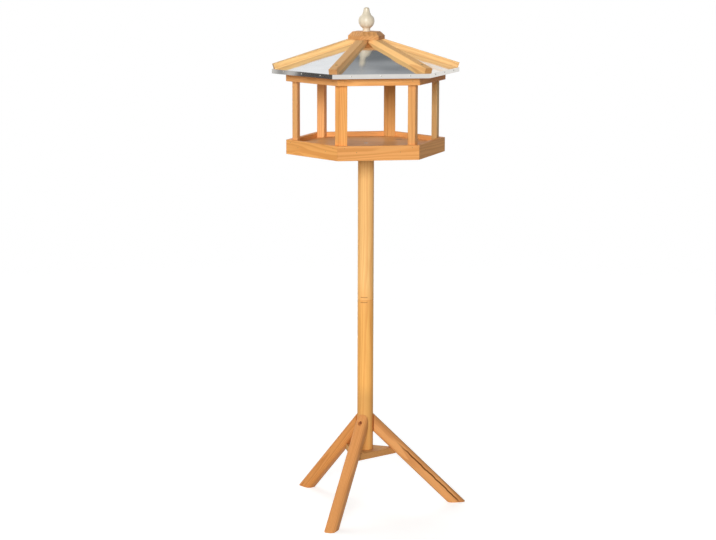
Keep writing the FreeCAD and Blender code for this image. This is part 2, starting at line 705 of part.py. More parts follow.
# The hub fills the peak under the sheets, and its boss rises through their opening to the cap.
hub_base = doc.addObject("Part::Prism", "hub_base")
hub_base.Polygon = SIDES
hub_base.setExpression("Circumradius", "dims.hub_radius")
hub_base.setExpression("Height", "dims.hub_edge_height")
hub_base.Placement = FreeCAD.Placement(
    FreeCAD.Vector(), FreeCAD.Rotation(FreeCAD.Vector(*UPWARD), CORNER_FIRST))
hub_base.setExpression(".Placement.Base.y", AXIS_Y)
hub_base.setExpression(".Placement.Base.z", HUB_BOTTOM)
hub_slopes = roof_frustum("hub_slopes", "dims.hub_radius", OPENING_CORNER, SHEET_RISE)
hub_boss = doc.addObject("Part::Cylinder", "hub_boss")
hub_boss.setExpression("Radius", "dims.hub_boss_diameter / 2")
hub_boss.setExpression("Height", f"{CAP_BOTTOM} - {HUB_BOTTOM}")
hub_boss.setExpression(".Placement.Base.y", AXIS_Y)
hub_boss.setExpression(".Placement.Base.z", HUB_BOTTOM)
hub = doc.addObject("Part::MultiFuse", "apex_hub")
hub.Shapes = [hub_base, hub_slopes, hub_boss]
hub.Label = "apex_hub"
drill(hub, [rafter_screws, finial_dowel])

cap = new_body("cap", CORNER_FIRST, CAP_BOTTOM)
cap_sketch = new_sketch(cap, "XY_Plane", "outline")
draw_loop(cap_sketch, hexagon("dims.cap_radius"))
cap_pad = add_pad(cap, cap_sketch, "dims.cap_height")
bevel_edges(cap, cap_pad, "dims.cap_chamfer", lambda edge: lies_at(edge, value("dims.cap_height")))
drill(cap, [finial_dowel])

# The turned finial: a stem, a cove, a round bulb, a small step, and a flare up to a rounded crown.
finial = new_body("finial", 0, CAP_TOP)
finial_sketch = new_sketch(finial, "XZ_Plane", "profile")
draw_loop(
    finial_sketch,
    [("0", "0"),
     ("dims.stem_radius", "0"),
     ("dims.stem_radius", "dims.stem_height"),
     ("dims.neck_radius", "dims.neck_height"),
     ("dims.bulb_top_radius", "dims.bulb_top_height"),
     ("dims.collar_radius", "dims.bulb_top_height"),
     ("dims.tip_radius", "dims.tip_height"),
     ("0", "dims.finial_height")],
    {2: ("dims.neck_cove_radius", 1),
     3: ("dims.bulb_arc_radius", -1),
     5: ("dims.flare_arc_radius", 1),
     6: (CROWN_ARC, -1)})
finial_turned = finial.newObject("PartDesign::Revolution", "finial_turned")
finial_turned.Profile = finial_sketch
finial_turned.ReferenceAxis = (finial_sketch, ["V_Axis"])
finial_turned.Angle = FULL_TURN
doc.recompute()
drill(finial, [finial_dowel])

doc.recompute()
for item in doc.Objects:
    if "Invalid" in item.State or "Error" in item.State:
        raise RuntimeError(f"{item.Label}: {item.State}")

FASTENER_COUNTS = {
    "leg_pole_screws": LEGS,
    "leg_plate_screws": LEGS,
    "block_screws": BLOCK_CORNERS,
    "rim_pins": 4 * SIDES,
    "ring_pins": 2 * SIDES,
    "batten_pins": 2 * SIDES,
    "lip_nails": 3 * SIDES,
    "rafter_screws": 2 * SIDES,
}
for name, item in pieces.items():
    shape = item.Shape
    if shape.isNull() or not shape.isValid():
        raise RuntimeError(f"{name} isn't a valid shape")
    if len(shape.Solids) != FASTENER_COUNTS.get(name, 1):
        raise RuntimeError(f"{name} has {len(shape.Solids)} solids")

os.makedirs("parts", exist_ok=True)
for name, item in pieces.items():
    item.Shape.exportStep(f"parts/{name}.step")
print(len(pieces), "pieces")
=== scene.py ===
import math
import random

import bmesh
import bpy
from mathutils import Euler, Matrix, Vector


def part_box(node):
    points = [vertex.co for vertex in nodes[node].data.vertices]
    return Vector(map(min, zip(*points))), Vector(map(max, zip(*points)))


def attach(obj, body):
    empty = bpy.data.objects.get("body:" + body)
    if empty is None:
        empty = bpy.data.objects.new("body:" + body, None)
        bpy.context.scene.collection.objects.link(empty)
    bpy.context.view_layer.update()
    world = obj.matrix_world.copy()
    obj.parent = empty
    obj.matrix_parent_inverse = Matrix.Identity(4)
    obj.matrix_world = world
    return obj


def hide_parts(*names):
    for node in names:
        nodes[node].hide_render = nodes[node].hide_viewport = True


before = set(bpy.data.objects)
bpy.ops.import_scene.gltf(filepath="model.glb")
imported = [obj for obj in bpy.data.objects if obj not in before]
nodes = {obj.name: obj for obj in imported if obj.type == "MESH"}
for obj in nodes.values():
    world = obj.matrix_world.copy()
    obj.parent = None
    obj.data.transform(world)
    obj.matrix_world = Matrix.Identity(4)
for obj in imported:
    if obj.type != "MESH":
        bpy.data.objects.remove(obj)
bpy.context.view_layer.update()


# Legs
# Three struts of planed pine, 33 by 37 mm, with a clear orange-brown lacquer. Each is sawn level at
# the foot and upright at the top, and one screw in a round counterbore fixes it to the pole.

POLE_AXIS = Vector((0, sum(c.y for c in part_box("pole_lower")) / 2, 0))
UP = Vector((0, 0, 1))
LEG_SLOPE = math.radians(45)
LEG_SEED = 11

# A dark wavering line's place across the face and its two ends along the grain, in metres.
RIGHT_LEG_DARK_LINE = (0.0100, -0.10, 0.190)

# Each leg has its name, its compass turn, the colours of its spring and summer wood, and its dark line.
LEGS = [
    ("front_leg", -90, (231, 163, 99), (203, 126, 65), None),
    ("right_leg", 30, (225, 160, 98), (188, 120, 67), RIGHT_LEG_DARK_LINE),
    ("left_leg", 150, (219, 149, 82), (188, 112, 50), None)]

# How often a pattern comes in a metre: through the board, across it and along the grain.
RING_BENDS = (9.0, 9.0, 1.7)
FIBRES = (950.0, 950.0, 14.0)
STREAKS = (150.0, 150.0, 2.2)
CLOUDS = (16.0, 16.0, 3.4)
DARK_LINE_BENDS = (1.0, 1.0, 26.0)
KNOTS_ACROSS = 8.0
KNOTS_ALONG = 5.2

# Where a pattern comes in or goes out: in shares of a year, in knot radii, and in noise.
SUMMER = (0.25, 0.86)
WINTER = (0.90, 1.0)
KNOT_EDGE = (0.75, 1.1)
SWIRL_EDGE = (0.5, 4.0)
STREAK_EDGE = (0.50, 0.75)

# How strongly a pattern colours the wood.
RING_STRENGTH = 0.50
STREAK_STRENGTH = 0.40
SWIRL_STRENGTH = 0.35
KNOT_STRENGTH = 0.85
SAWN_STRENGTH = 0.45

# The grain's tilt, as a slope, and its slip along the board and the rings' wander, in metres.
GRAIN_TILT = 0.025
GRAIN_SHIFT = 0.4
RING_SWAY = 0.020

# Knots, with places and radii in steps of their scatter, and the rings' swelling in metres.
SCATTER_ROOM = 50
KNOT_LEAST = 0.03
KNOT_VARIETY = 0.035
KNOT_RINGS = 2.6
KNOT_SWELL = 0.007
KNOT_DARK = (122, 66, 28)
KNOT_LIGHT = (168, 98, 46)

# The dark line, in metres.
DARK_LINE_SWAY = 0.0090
DARK_LINE_CORE = 0.0010
DARK_LINE_EDGE = 0.0028
DARK_LINE_BEGINS = 0.08
DARK_LINE_ENDS = 0.03
DARK_LINE_BROWN = (104, 60, 24)

# The sawn ends, and how far the planed edges are eased.
SAWN_EDGE = (0.55, 0.95)
SAWN_END = (205, 165, 130)
EASED_EDGE = 0.0008


def linear(colour):
    """Scene-linear RGBA of a colour given as it looks on a screen, 0 to 255."""
    share = [c / 255 for c in colour]
    return [c / 12.92 if c <= 0.04045 else ((c + 0.055) / 1.055) ** 2.4 for c in share] + [1.0]


def outward(turn):
    """Level direction away from the pole at a compass turn in degrees."""
    return Vector((math.cos(math.radians(turn)), math.sin(math.radians(turn)), 0))


def middle(name):
    """Centre of a piece's box."""
    low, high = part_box(name)
    return (low + high) / 2


class Wiring:
    """Short calls for the nodes that a finish or the surround is made of."""

    def __init__(self, tree):
        self.tree = tree

    def put(self, socket, source):
        """Fills a socket with another node's output or with a plain value."""
        if isinstance(source, bpy.types.NodeSocket):
            self.tree.links.new(source, socket)
        else:
            socket.default_value = source

    def add(self, kind, settings=None, **inputs):
        """Adds a node. An input goes by its name, or as i0, i1 and so on by its number."""
        made = self.tree.nodes.new("ShaderNode" + kind)
        for key, setting in (settings or {}).items():
            setattr(made, key, setting)
        for key, source in inputs.items():
            index = int(key[1:]) if key[0] == "i" and key[1:].isdigit() else key.replace("_", " ")
            self.put(made.inputs[index], source)
        return made

    def node(self, kind, output=0, settings=None, **inputs):
        """Adds a node and gives back one of its outputs."""
        return self.add(kind, settings, **inputs).outputs[output]

    def math(self, operation, first, second=0.0, third=0.0):
        """One number worked out from others."""
        return self.node("Math", settings={"operation": operation}, i0=first, i1=second, i2=third)

    def vary(self, source, base, by):
        """A number that moves away from its base with another one."""
        return self.math("MULTIPLY_ADD", source, by, base)

    def spread(self, source, low, high, to_low, to_high):
        """Maps a range of numbers smoothly to another range."""
        smooth = {"interpolation_type": "SMOOTHSTEP"}
        return self.node("MapRange", settings=smooth, i0=source, i1=low, i2=high, i3=to_low, i4=to_high)

    def rise(self, source, low, high, top=1.0):
        """Nothing below a range, and its top above it."""
        return self.spread(source, low, high, 0.0, top)

    def fall(self, source, low, high, top=1.0):
        """Its top below a range, and nothing above it."""
        return self.spread(source, low, high, top, 0.0)

    def vector(self, operation, first, second, output=0):
        """One vector or number worked out from two vectors."""
        return self.node("VectorMath", output, {"operation": operation}, i0=first, i1=second)

    def scaled(self, vector, scale):
        """A vector stretched by its own factor along each axis."""
        return self.vector("MULTIPLY", vector, scale)

    def dot(self, vector, direction):
        """How far a vector reaches along a direction."""
        return self.vector("DOT_PRODUCT", vector, direction, 1)

    def size(self, vector):
        """How long a vector is."""
        return self.node("VectorMath", 1, {"operation": "LENGTH"}, i0=vector)

    def parts(self, vector):
        """The three numbers of a vector."""
        return self.add("SeparateXYZ", i0=vector).outputs

    def noise(self, vector, detail=2.0, roughness=0.5):
        """Soft random numbers around one half."""
        return self.node("TexNoise", Vector=vector, Scale=1.0, Detail=detail, Roughness=roughness)

    def mix(self, share, first, second, blend="MIX"):
        """Two colours blended."""
        colours = {"data_type": "RGBA", "blend_type": blend}
        return self.node("Mix", 2, colours, i0=share, i6=first, i7=second)


class Finish(Wiring):
    """A new material and its shader."""

    def __init__(self, name):
        self.material = bpy.data.materials.new(name)
        self.material.use_nodes = True
        super().__init__(self.material.node_tree)
        self.shader = self.tree.nodes["Principled BSDF"]

    def set(self, **values):
        """Sets the shader's own sockets, with spaces written as underscores."""
        for key, source in values.items():
            self.put(self.shader.inputs[key.replace("_", " ")], source)

    def dress(self, *names):
        """Gives the finish to pieces of the frame."""
        for name in names:
            for place in nodes[name].material_slots:
                place.material = self.material

    def metres(self):
        """Where a point of the surface lies in the frame, in metres."""
        return self.node("TexCoord", 3)

    def measured(self, origin, *axes):
        """Where a point of the surface lies from an origin, along three axes of its own."""
        turn = Matrix(axes).transposed().to_euler()
        inverse = {"vector_type": "TEXTURE"}
        return self.node("Mapping", settings=inverse, Vector=self.metres(), Location=origin, Rotation=turn)


class Pine(Finish):
    """Flat-sawn pine, with its own place and direction in the tree.

    along is the grain's direction and across is the direction through the board.
    """

    def __init__(self, piece, along, across, seed):
        super().__init__(f"{piece}_pine")
        self.picks = random.Random(seed)
        width = along.cross(across).normalized()
        self.along = (along + width * self.picks.uniform(-GRAIN_TILT, GRAIN_TILT)).normalized()
        width = self.along.cross(across).normalized()
        self.shift = self.picks.uniform(-GRAIN_SHIFT, GRAIN_SHIFT)
        self.local = self.measured(middle(piece) + self.along * self.shift, across, width, self.along)
        self.through, self.side, self.length = self.parts(self.local)

    def pattern(self, often, detail=2.0, roughness=0.5):
        """Soft noise that comes so often through the board, across it and along the grain."""
        return self.noise(self.scaled(self.local, often), detail, roughness)

    def knots(self, share):
        """Branches that grow through the board: each shows on both faces, and as a streak on an edge.

        They are some of the points of a scatter over the face. Gives 1 where the nearest point is a
        knot and 0 where it is clear wood, and how far away it is, in knot radii.
        """
        along = self.math("MULTIPLY", self.length, KNOTS_ALONG)
        across = self.vary(self.side, base=self.picks.uniform(0, SCATTER_ROOM), by=KNOTS_ACROSS)
        face = self.node("CombineXYZ", X=along, Y=across, Z=0.0)
        scatter = self.add("TexVoronoi", {"voronoi_dimensions": "2D"}, Vector=face, Scale=1.0).outputs
        chance = self.add("SeparateColor", i0=scatter["Color"]).outputs
        present = self.math("LESS_THAN", chance[0], share)
        radius = self.vary(chance[1], base=KNOT_LEAST, by=KNOT_VARIETY)
        return present, self.math("DIVIDE", scatter["Distance"], radius)

    def rings(self, swirl, pith, ring):
        """Year rings about the pith, which wander a little and swell around a knot.

        Gives 0 in spring wood, and up to 1 in summer wood.
        """
        wander = self.vary(self.pattern(RING_BENDS, 3.0), base=-RING_SWAY / 2, by=RING_SWAY)
        offset = (pith * self.picks.uniform(0.7, 1.3), pith * self.picks.uniform(-0.5, 0.5), 0.0)
        flat = self.node("CombineXYZ", X=self.through, Y=self.side, Z=0.0)
        radius = self.math("ADD", self.size(self.vector("ADD", flat, offset)), wander)
        radius = self.math("ADD", radius, self.math("MULTIPLY", swirl, KNOT_SWELL))
        year = self.math("FRACT", self.math("DIVIDE", radius, ring))
        return self.math("MULTIPLY", self.rise(year, *SUMMER), self.fall(year, *WINTER))

    def pitch(self, place, first, last):
        """A dark line that wavers along the grain between its two ends. Gives 1 in its core."""
        bend = self.vary(self.pattern(DARK_LINE_BENDS, 3.0), base=-DARK_LINE_SWAY / 2 - place, by=DARK_LINE_SWAY)
        apart = self.math("ABSOLUTE", self.math("ADD", self.side, bend))
        first -= self.shift
        last -= self.shift
        line = self.math(
            "MULTIPLY", self.fall(apart, DARK_LINE_CORE, DARK_LINE_EDGE),
            self.rise(self.length, first, first + DARK_LINE_BEGINS))
        return self.math("MULTIPLY", line, self.fall(self.length, last - DARK_LINE_ENDS, last))


def lacquered_pine(
        piece, along, across, early, late, seed, knots=0.35, pith=0.03, ring=0.0034, dark_line_span=None):
    """Dresses a piece in pine under clear lacquer, and gives back the finish.

    early and late are the colours of spring and summer wood. knots is the share of the scattered
    points that are knots. pith is how far away the tree's middle was and ring is a year's growth,
    both in metres. dark_line_span gives a dark wavering line along the grain.
    """
    wood = Pine(piece, along, across, seed)
    early = linear(early)
    late = linear(late)
    present, reach = wood.knots(knots)
    knot = wood.math("MULTIPLY", present, wood.fall(reach, *KNOT_EDGE))
    swirl = wood.math("MULTIPLY", present, wood.fall(reach, *SWIRL_EDGE))
    ripe = wood.rings(swirl, pith, ring)
    fibre = wood.pattern(FIBRES, 3.0, 0.6)

    colour = wood.mix(wood.math("MULTIPLY", ripe, RING_STRENGTH), early, late)
    colour = wood.mix(wood.rise(wood.pattern(STREAKS), *STREAK_EDGE, STREAK_STRENGTH), colour, late)
    shade = wood.vary(fibre, base=0.92, by=0.16)
    shade = wood.math("MULTIPLY", shade, wood.vary(wood.pattern(CLOUDS), base=0.87, by=0.26))
    grey = wood.node("CombineColor", i0=shade, i1=shade, i2=shade)
    colour = wood.mix(1.0, colour, grey, "MULTIPLY")

    # A knot has rings of its own, and the wood round it is darker.
    heart = wood.math("FRACT", wood.math("MULTIPLY", reach, KNOT_RINGS))
    brown = wood.mix(heart, linear(KNOT_DARK), linear(KNOT_LIGHT))
    colour = wood.mix(wood.math("MULTIPLY", swirl, SWIRL_STRENGTH), colour, late)
    colour = wood.mix(wood.math("MULTIPLY", knot, KNOT_STRENGTH), colour, brown)
    # A dark wavering line along the grain, where one is given.
    if dark_line_span:
        colour = wood.mix(wood.pitch(*dark_line_span), colour, linear(DARK_LINE_BROWN))

    # The sawn ends drink more lacquer and look darker.
    end_on = wood.math("ABSOLUTE", wood.dot(wood.node("NewGeometry", 1), wood.along))
    soaked = wood.mix(1.0, colour, linear(SAWN_END), "MULTIPLY")
    colour = wood.mix(wood.rise(end_on, *SAWN_EDGE, SAWN_STRENGTH), colour, soaked)

    relief = wood.vary(ripe, base=fibre, by=0.5)
    eased = wood.node("Bevel", Radius=EASED_EDGE)
    bump = wood.node("Bump", Strength=0.30, Distance=0.00015, Height=relief, Normal=eased)
    wood.set(
        Base_Color=colour, Roughness=wood.vary(fibre, base=0.40, by=0.16), Specular_IOR_Level=0.09,
        Normal=bump, Coat_Weight=0.04, Coat_Roughness=0.25)
    wood.dress(piece)
    return wood


for seed, (name, turn, early, late, dark_line_span) in enumerate(LEGS, start=LEG_SEED):
    out = outward(turn)
    down = out * math.cos(LEG_SLOPE) - UP * math.sin(LEG_SLOPE)
    lacquered_pine(name, down, out.cross(UP), early, late, seed, knots=0.4, dark_line_span=dark_line_span)


# Base plate
# A triangle of pine board that ties the legs together and carries the pole. Its corners are sawn
# to the legs' slope, and each is screwed to a leg from below.

PLATE_GRAIN = -30

lacquered_pine(
    "base_plate", outward(PLATE_GRAIN), UP, early=(220, 170, 108), late=(184, 132, 78), seed=21)


# Steel fasteners
# Wood screws with a cross recess, a coach screw with a washer, a stud and headless pins. Most are
# plated with grey zinc in soft clouds, duller than the roof. The pins and the screws that hold the
# legs to the pole have gone brown.

# The cross, in shares of the head's radius.
CROSS_ARM = 0.58
CROSS_HALF_WIDTH = 0.16
CROSS_FOOT = 0.5
CROSS_DEPTH = 0.55
CROSS_ABOVE = 0.1

SAME_POINT = 0.000001
HEAD_SLACK = 0.00002
ZINC_CLOUDS = (420.0, 420.0, 420.0)
CLOUD_SHADE = 0.82
CLOUD_ROUGHNESS = 0.14


def zinc_plate(name, colour=(176, 178, 176), roughness=0.36):
    """Plated steel with faint clouds."""
    finish = Finish(name)
    cloud = finish.noise(finish.scaled(finish.metres(), ZINC_CLOUDS), 3.0)
    shade = finish.mix(cloud, linear(colour), linear([c * CLOUD_SHADE for c in colour]))
    dull = finish.vary(cloud, base=roughness - CLOUD_ROUGHNESS / 2, by=CLOUD_ROUGHNESS)
    finish.set(Base_Color=shade, Metallic=1.0, Roughness=dull)
    return finish


def single_screws(shape):
    """The points of each screw in a mesh that holds several."""
    seen = set()
    for first in shape.verts:
        if first.index in seen:
            continue
        seen.add(first.index)
        screw = [first]
        for vert in screw:
            for edge in vert.link_edges:
                other = edge.other_vert(vert)
                if other.index not in seen:
                    seen.add(other.index)
                    screw.append(other)
        yield [vert.co.copy() for vert in screw]


def sink_cross(cutter, screw, facing):
    """Adds the tapered cross that a driver fits, at the middle of one screw's flat head."""
    top = max(point.dot(facing) for point in screw)
    edge = [point for point in screw if point.dot(facing) > top - HEAD_SLACK]
    right = facing.orthogonal().normalized()
    ahead = facing.cross(right)
    centre = facing * top
    for axis in (right, ahead):
        reach = [point.dot(axis) for point in edge]
        centre += axis * (min(reach) + max(reach)) / 2
    radius = max((point - centre).length for point in edge)
    rings = []
    for lift, share in ((CROSS_ABOVE, 1.0), (-CROSS_DEPTH, CROSS_FOOT)):
        place = centre + facing * radius * lift
        arm = radius * CROSS_ARM * share
        half = radius * CROSS_HALF_WIDTH * share
        ring = []
        for out, side in ((right, ahead), (ahead, -right), (-right, -ahead), (-ahead, right)):
            tip = place + out * arm
            ring += [tip - side * half, tip + side * half, place + (out + side) * half]
        rings.append([cutter.verts.new(corner) for corner in ring])
    upper, lower = rings
    cutter.faces.new(upper)
    cutter.faces.new(reversed(lower))
    for step in range(len(upper)):
        cutter.faces.new((upper[step - 1], lower[step - 1], lower[step], upper[step]))


def mesh_piece(name, shape):
    """A new object of a finished shape."""
    made = bpy.data.meshes.new(name)
    shape.to_mesh(made)
    shape.free()
    piece = bpy.data.objects.new(name, made)
    bpy.context.scene.collection.objects.link(piece)
    return piece


def cross_headed(node, finish, facing):
    """Stands for a node's wood screws, with a cross sunk in each head.

    facing gives the direction of a head from the screw's level place round the pole.
    """
    shape = bmesh.new()
    shape.from_mesh(nodes[node].data)
    bmesh.ops.remove_doubles(shape, verts=shape.verts, dist=SAME_POINT)
    cutter = bmesh.new()
    for screw in single_screws(shape):
        out = sum(screw, Vector()) / len(screw) - POLE_AXIS
        sink_cross(cutter, screw, facing(Vector((out.x, out.y, 0))))
    bmesh.ops.recalc_face_normals(cutter, faces=cutter.faces)
    piece = mesh_piece(f"{node}_with_cross", shape)
    driver = mesh_piece("driver_tip", cutter)
    cut = piece.modifiers.new("cross", "BOOLEAN")
    cut.operation = "DIFFERENCE"
    cut.solver = "EXACT"
    cut.object = driver
    solid = piece.evaluated_get(bpy.context.evaluated_depsgraph_get())
    piece.data = bpy.data.meshes.new_from_object(solid)
    piece.modifiers.remove(cut)
    bpy.data.objects.remove(driver)
    piece.data.materials.clear()
    piece.data.materials.append(finish.material)
    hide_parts(node)
    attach(piece, "root")


def under_leg(out):
    """The screws below the base plate are square to the sloping undersides of the legs."""
    return -(out.normalized() * math.sin(LEG_SLOPE) + UP * math.cos(LEG_SLOPE))


bright_zinc = zinc_plate("screw_zinc")
bright_zinc.dress("coach_screw", "washer", "pole_stud")
dull_wire = zinc_plate("dull_wire", colour=(176, 136, 92), roughness=0.5)
dull_wire.dress("rim_pins", "ring_pins", "batten_pins")
brown_steel = zinc_plate("brown_steel", colour=(172, 112, 72), roughness=0.6)
cross_headed("leg_pole_screws", brown_steel, lambda out: out.normalized())
cross_headed("leg_plate_screws", bright_zinc, under_leg)
cross_headed("block_screws", bright_zinc, lambda out: -UP)
cross_headed("tray_screw", bright_zinc, lambda out: UP)


# Pole
# Two equal round lengths of pine, 45 mm thick, turned and lacquered a light honey. A hidden stud
# joins them at half height, where each is scored once across its front. The foot is darkened with
# painted shade, where the legs shadow it.

POLE_SEED = 31
POLE_GRAIN = -35

# Each length has its name, the colours of its wood, and its score's height above the joint.
POLES = [
    ("pole_lower", (252, 189, 105), (226, 149, 72), -0.0058),
    ("pole_upper", (254, 202, 129), (238, 170, 100), 0.0082)]

POLE_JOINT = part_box("pole_upper")[0].z
SOAK_REACH = 0.06
SOAK_STRENGTH = 0.55
SOAKED = (246, 180, 104)
# Painted shade on the pole's foot, where the legs shadow it: the heights where it is full and where it is
# gone, in metres, then its strength and colour.
FOOT_SHADE_LOW = 0.31
FOOT_SHADE_HIGH = 0.37
FOOT_SHADE_STRENGTH = 0.5
FOOT_SHADE = (200, 146, 84)
SCORE_TURN = -82
SCORE_REACH = 0.0198
SCORE_FADE = 0.0008
SCORE_CORE = 0.0005
SCORE_EDGE = 0.0012
SCORED = (176, 110, 56)


def age_and_shade_pole(finish, score):
    """Darkens the wood at the joint, paints shade on the foot where the legs shadow it, and scores one
    short line across its front.
    """
    coords = finish.metres()
    height = finish.dot(coords, UP)
    near = finish.math("ABSOLUTE", finish.math("SUBTRACT", height, POLE_JOINT))
    colour = finish.shader.inputs["Base Color"].links[0].from_socket
    colour = finish.mix(finish.fall(near, 0.0, SOAK_REACH, SOAK_STRENGTH), colour, linear(SOAKED))
    # Painted shade: the foot is darkened where the legs shadow it.
    foot_shade = finish.fall(height, FOOT_SHADE_LOW, FOOT_SHADE_HIGH, FOOT_SHADE_STRENGTH)
    colour = finish.mix(foot_shade, colour, linear(FOOT_SHADE))
    front = outward(SCORE_TURN)
    edge = POLE_AXIS.dot(front) + SCORE_REACH
    facing = finish.rise(finish.dot(coords, front), edge, edge + SCORE_FADE)
    apart = finish.math("ABSOLUTE", finish.math("SUBTRACT", height, POLE_JOINT + score))
    line = finish.math("MULTIPLY", finish.fall(apart, SCORE_CORE, SCORE_EDGE), facing)
    finish.set(Base_Color=finish.mix(line, colour, linear(SCORED)))


for seed, (name, early, late, score) in enumerate(POLES, start=POLE_SEED):
    honey = lacquered_pine(
        name, UP, outward(POLE_GRAIN), early, late, seed, knots=0.2, pith=0.05, ring=0.0042)
    age_and_shade_pole(honey, score)


# Socket block and tray floor
# A square block of plain pine takes the pole's top end. The floor above it is a hexagon of thin
# board with its grain running across the tray.

lacquered_pine("socket_block", outward(0), UP, early=(226, 176, 118), late=(192, 132, 78), seed=41)
lacquered_pine(
    "tray_floor", outward(0), UP, early=(228, 170, 106), late=(196, 130, 72), seed=42, knots=0.3,
    pith=0.05, ring=0.0050)


# Tray rim
# Six boards of pine, 15 by 40 mm, mitred at the corners and pinned round the floor. They stand a
# little above it all round.

SIDES = 6
SIDE_STEP = 360 / SIDES
FIRST_SIDE = -60
RIM_BOARDS = [
    ((244, 175, 104), (216, 138, 70)), ((234, 168, 96), (204, 132, 64)), ((240, 176, 108), (210, 138, 74)),
    ((246, 180, 112), (216, 142, 78)), ((238, 170, 102), (208, 134, 70)), ((250, 180, 102), (222, 142, 70))]


def side_out(number):
    """Level direction out of one of the six sides, numbered from 1."""
    return outward(FIRST_SIDE + (number - 1) * SIDE_STEP)


for number, (early, late) in enumerate(RIM_BOARDS, start=1):
    out = side_out(number)
    lacquered_pine(
        f"rim_board_{number}", out.cross(UP), out, early, late, seed=50 + number, knots=0.25, pith=0.04,
        ring=0.0036)


# Posts
# Six slim posts of pine with a rhombic section, nested in the mitred corners and pinned through
# the boards below and above.

FIRST_CORNER = -90
# Each post has the colours of its spring and summer wood. Posts 3 and 4 are darker with painted shade, for
# the shade that falls on them.
POST_TONES_AND_SHADE = [
    ((254, 183, 104), (228, 144, 73)), ((246, 182, 112), (216, 143, 80)), ((220, 178, 120), (190, 138, 84)),
    ((222, 166, 100), (194, 130, 70)), ((252, 190, 124), (224, 150, 88)), ((248, 188, 122), (218, 148, 86))]


def corner_out(number):
    """Level direction out of one of the six corners, numbered from 1."""
    return outward(FIRST_CORNER + (number - 1) * SIDE_STEP)


for number, (early, late) in enumerate(POST_TONES_AND_SHADE, start=1):
    lacquered_pine(
        f"post_{number}", UP, corner_out(number), early, late, seed=60 + number, knots=0.12, pith=0.05,
        ring=0.0038)


# Ring under the roof
# Six mitred boards of pine like the rim's, but only 24 mm high. They are pinned to the posts' top
# ends and carry the roof.

# Each ring board has the colours of its spring and summer wood. Board 2 is darker with painted shade, for
# the eave's shadow on it.
RING_TONES_AND_SHADE = [
    ((254, 188, 116), (226, 152, 82)), ((224, 152, 76), (194, 116, 46)), ((240, 176, 108), (210, 138, 74)),
    ((246, 180, 112), (216, 142, 78)), ((238, 170, 102), (208, 134, 70)), ((240, 174, 108), (212, 138, 74))]

for number, (early, late) in enumerate(RING_TONES_AND_SHADE, start=1):
    out = side_out(number)
    lacquered_pine(
        f"ring_board_{number}", out.cross(UP), out, early, late, seed=70 + number, knots=0.2, pith=0.04,
        ring=0.0036)


# Eave battens
# Six sloped laths of paler pine, pinned on the ring to back the folded lips of the sheets. They only
# show from below.

for number in range(1, SIDES + 1):
    lacquered_pine(
        f"eave_batten_{number}", side_out(number).cross(UP), UP, early=(232, 186, 130),
        late=(200, 142, 86), seed=80 + number, knots=0.2, pith=0.04, ring=0.0036)


# Roof sheets
# Six triangles of bright rolled sheet metal, almost a mirror, with their lower edges folded down
# over the battens and nailed. Rolling leaves faint lines and the sheet is never quite flat.

SHEET_MIDDLE = 0.125
SHEET_BOW = 0.45
SIDE_BOW = SHEET_BOW * 0.9
SHEET_WAVE = 0.0024
SHEET_ROOM = 9
LINE_DEPTH = 0.000006
SHEET_LIGHT = (226, 228, 230)
SHEET_DARK = (212, 215, 218)

# How often a pattern comes in a metre: down the roof, along the eave and upright.
WAVES = (9.0, 7.0, 7.0)
ROLLED_LINES = (1600.0, 30.0, 30.0)
SHEET_CLOUDS = (60.0, 24.0, 24.0)


def bright_sheet(name, across, seed):
    """Rolled sheet metal, dished a little, with soft waves and fine rolling lines."""
    finish = Finish(name)
    picks = random.Random(seed)
    local = finish.measured(POLE_AXIS, across, UP.cross(across), UP)
    down, side = finish.parts(local)[:2]
    strewn = finish.vector("ADD", local, [picks.uniform(-SHEET_ROOM, SHEET_ROOM) for axis in range(3)])
    wave = finish.noise(finish.scaled(strewn, WAVES), 1.0)
    lines = finish.noise(finish.scaled(strewn, ROLLED_LINES))
    cloud = finish.noise(finish.scaled(strewn, SHEET_CLOUDS), 3.0)
    bow = finish.vary(down, base=-SHEET_BOW * SHEET_MIDDLE, by=SHEET_BOW)
    bow = finish.math("MULTIPLY", bow, bow)
    sway = finish.math("MULTIPLY", side, SIDE_BOW)
    bow = finish.vary(sway, base=bow, by=sway)
    relief = finish.vary(wave, base=finish.math("MULTIPLY", lines, LINE_DEPTH), by=SHEET_WAVE)
    bump = finish.node("Bump", Strength=1.0, Distance=1.0, Height=finish.math("ADD", relief, bow))
    finish.set(
        Base_Color=finish.mix(cloud, linear(SHEET_LIGHT), linear(SHEET_DARK)), Metallic=1.0,
        Roughness=finish.vary(cloud, base=0.07, by=0.06), Normal=bump)
    return finish


for number in range(1, SIDES + 1):
    metal = bright_sheet(f"roof_metal_{number}", side_out(number), seed=90 + number)
    metal.dress(f"roof_sheet_{number}")

zinc_plate("nail_steel", colour=(178, 176, 170), roughness=0.45).dress("lip_nails")


# Hip rafters
# Six battens of pine, 24 by 13 mm, that cover the seams between the sheets. Each is screwed down
# at the eave and under the cap with yellow zinc screws, and its upper edges are rounded.

CAP_REACH = 0.1

# A rafter lies half a side's turn from where its sheets are steepest, so it slopes less than they do.
ROOF_PITCH = math.radians(20)
HALF_SIDE = math.radians(SIDE_STEP / 2)
RAFTER_SLOPE = math.atan(math.tan(ROOF_PITCH) * math.cos(HALF_SIDE))

RAFTERS = [
    ((236, 189, 130), (206, 143, 88)), ((247, 197, 130), (217, 152, 88)), ((250, 202, 138), (220, 156, 94)),
    ((243, 194, 128), (212, 148, 84)), ((247, 197, 130), (217, 152, 88)), ((240, 196, 132), (208, 150, 90))]


def rafter_screw_faces(out):
    """The eave screws are square to their rafter, and the ones under the cap upright."""
    if out.length < CAP_REACH:
        return UP
    return out.normalized() * math.sin(RAFTER_SLOPE) + UP * math.cos(RAFTER_SLOPE)


